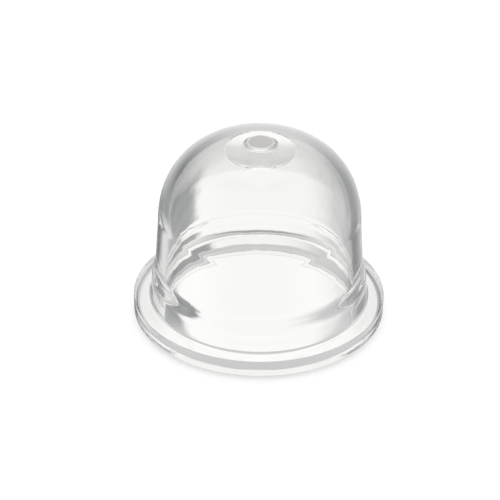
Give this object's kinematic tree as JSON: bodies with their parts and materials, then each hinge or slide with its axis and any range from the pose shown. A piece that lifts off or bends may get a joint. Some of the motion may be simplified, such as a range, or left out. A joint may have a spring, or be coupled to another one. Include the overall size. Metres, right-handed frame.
{
  "type": "primer bulb",
  "caption": "Clear moulded primer bulb: a draughted dome with a thick collar, a flat sealing flange with a soft lower edge, an open mouth below and a gate nub on the crown.",
  "frame": {"origin": "centre of the flange's underside, on the bulb's axis", "axes": "+Z along the bulb's axis, from the flange up to the crown; the bulb is round, so X and Y are free"},
  "size_m": [0.022, 0.022, 0.0171],
  "materials": {
    "clear_plastic": "clear, colourless soft plastic as moulded, glossy inside and out"
  },
  "bodies": {
    "root": {"primer_bulb": "clear_plastic"}
  },
  "joints": []
}
